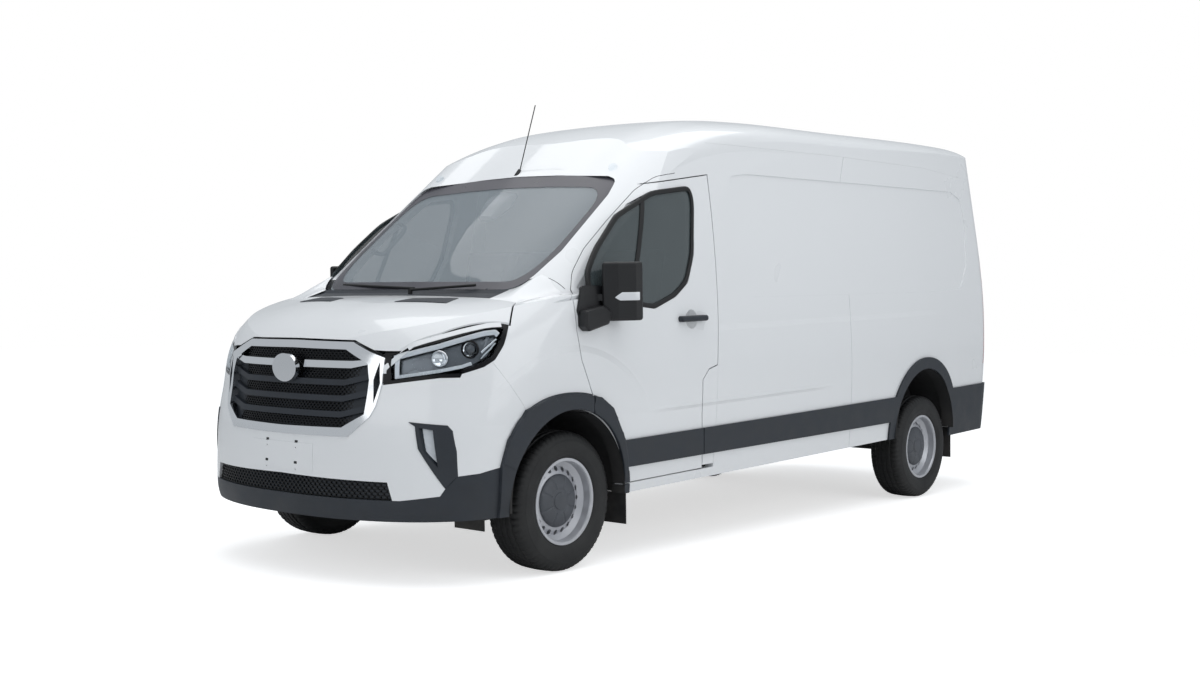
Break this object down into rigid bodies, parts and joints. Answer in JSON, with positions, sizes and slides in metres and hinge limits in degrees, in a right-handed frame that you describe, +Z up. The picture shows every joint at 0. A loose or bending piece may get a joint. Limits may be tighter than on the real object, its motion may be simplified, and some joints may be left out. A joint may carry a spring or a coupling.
{
  "type": "panel van",
  "caption": "Long panel van with a medium-high roof: hinged cab doors, bonnet and rear doors, steered front wheels that turn, and a hollow load space.",
  "frame": {"origin": "on the ground, midway between the van's front and rear and its two sides", "axes": "+Z up, +Y towards the rear, +X to the van's own left; the nose faces -Y"},
  "size_m": [2.3302, 5.9323, 2.5383],
  "materials": {
    "body_white": "gloss",
    "dark_plastic": "matt",
    "chrome_trim": "polished",
    "lamp_clear": "clear",
    "lamp_red": "gloss",
    "glass": "tinted",
    "floor_board": "coated",
    "cab_mat": "matt",
    "cab_plastic": "matt",
    "black_steel": "satin",
    "seat_cloth": "woven",
    "cast_grey": "cast",
    "gloss_black": "gloss",
    "tank_plastic": "matt",
    "exhaust_steel": "dull",
    "spare_tyre": "matt",
    "tyre": "matt",
    "wheel_silver": "satin"
  },
  "bodies": {
    "van": {"front_bumper": "body_white", "fenders": "body_white", "cab_roof": "body_white", "roof_panel": "body_white", "side_left": "body_white", "side_right": "body_white", "sliding_door": "body_white", "filler_flap": "body_white", "bumper_skirt": "dark_plastic", "cowl": "dark_plastic", "side_cladding": "dark_plastic", "rear_bumper": "dark_plastic", "arch_liners": "dark_plastic", "wipers": "dark_plastic", "antenna": "dark_plastic", "grille": "dark_plastic", "lamp_housings": "gloss_black", "grille_surround": "chrome_trim", "headlamps": "lamp_clear", "fog_lamps": "lamp_clear", "marker_lamps": "lamp_clear", "tail_lamps": "lamp_red", "windscreen": "glass", "load_floor": "floor_board", "cab_floor": "cab_mat", "dashboard": "cab_plastic", "steering_wheel": "cab_plastic", "seat_bases": "black_steel", "seat_cushions": "seat_cloth", "seat_backs": "seat_cloth", "rear_axle": "black_steel", "front_subframe": "black_steel", "chassis_rails": "black_steel", "cross_members": "black_steel", "engine": "cast_grey", "fuel_tank": "tank_plastic", "exhaust": "exhaust_steel", "spare_wheel": "spare_tyre"},
    "cab_door_left": {"door_left": "body_white", "door_glass_left": "glass", "mirror_left": "dark_plastic", "door_cladding_left": "dark_plastic"},
    "cab_door_right": {"door_right": "body_white", "door_glass_right": "glass", "mirror_right": "dark_plastic", "door_cladding_right": "dark_plastic"},
    "bonnet_lid": {"bonnet": "body_white"},
    "rear_leaf_left": {"rear_door_left": "body_white"},
    "rear_leaf_right": {"rear_door_right": "body_white"},
    "upright_left": {"knuckle_left": "cast_grey"},
    "upright_right": {"knuckle_right": "cast_grey"},
    "wheel_front_left": {"tyre_front_left": "tyre", "rim_front_left": "wheel_silver"},
    "wheel_front_right": {"tyre_front_right": "tyre", "rim_front_right": "wheel_silver"},
    "wheel_rear_left": {"tyre_rear_left": "tyre", "rim_rear_left": "wheel_silver"},
    "wheel_rear_right": {"tyre_rear_right": "tyre", "rim_rear_right": "wheel_silver"}
  },
  "joints": [
    {"name": "steer_left", "type": "hinge", "parent": "van", "child": "upright_left", "pos_m": [0.8, -1.955, 0.352], "axis": [0, 0, 1], "range_deg": [-33, 33]},
    {"name": "cab_door_left_hinge", "type": "hinge", "parent": "van", "child": "cab_door_left", "pos_m": [1.035, -1.93424, 1.0009], "axis": [0, 0.0297, -0.9996], "range_deg": [0, 68]},
    {"name": "rear_leaf_left_hinge", "type": "hinge", "parent": "van", "child": "rear_leaf_left", "pos_m": [0.792, 2.85575, 1.4432], "axis": [0, 0.0297, -0.9996], "range_deg": [0, 180]},
    {"name": "steer_right", "type": "hinge", "parent": "van", "child": "upright_right", "pos_m": [-0.8, -1.955, 0.352], "axis": [0, 0, 1], "range_deg": [-33, 33]},
    {"name": "cab_door_right_hinge", "type": "hinge", "parent": "van", "child": "cab_door_right", "pos_m": [-1.035, -1.93424, 1.0009], "axis": [0, -0.0297, 0.9996], "range_deg": [0, 68]},
    {"name": "rear_leaf_right_hinge", "type": "hinge", "parent": "van", "child": "rear_leaf_right", "pos_m": [-0.792, 2.85575, 1.4432], "axis": [0, -0.0297, 0.9996], "range_deg": [0, 180]},
    {"name": "bonnet_hinge", "type": "hinge", "parent": "van", "child": "bonnet_lid", "pos_m": [0, -2.21757, 1.37866], "axis": [-1, 0, 0], "range_deg": [0, 50]},
    {"name": "spin_front_left", "type": "hinge", "parent": "upright_left", "child": "wheel_front_left", "pos_m": [0.867, -1.955, 0.352], "axis": [1, 0, 0], "continuous": true},
    {"name": "spin_rear_left", "type": "hinge", "parent": "van", "child": "wheel_rear_left", "pos_m": [0.863, 1.805, 0.352], "axis": [1, 0, 0], "continuous": true},
    {"name": "spin_front_right", "type": "hinge", "parent": "upright_right", "child": "wheel_front_right", "pos_m": [-0.867, -1.955, 0.352], "axis": [1, 0, 0], "continuous": true},
    {"name": "spin_rear_right", "type": "hinge", "parent": "van", "child": "wheel_rear_right", "pos_m": [-0.863, 1.805, 0.352], "axis": [1, 0, 0], "continuous": true}
  ],
  "couplings": [
    {"joint": "steer_right", "follows": "steer_left", "ratio": 1}
  ]
}
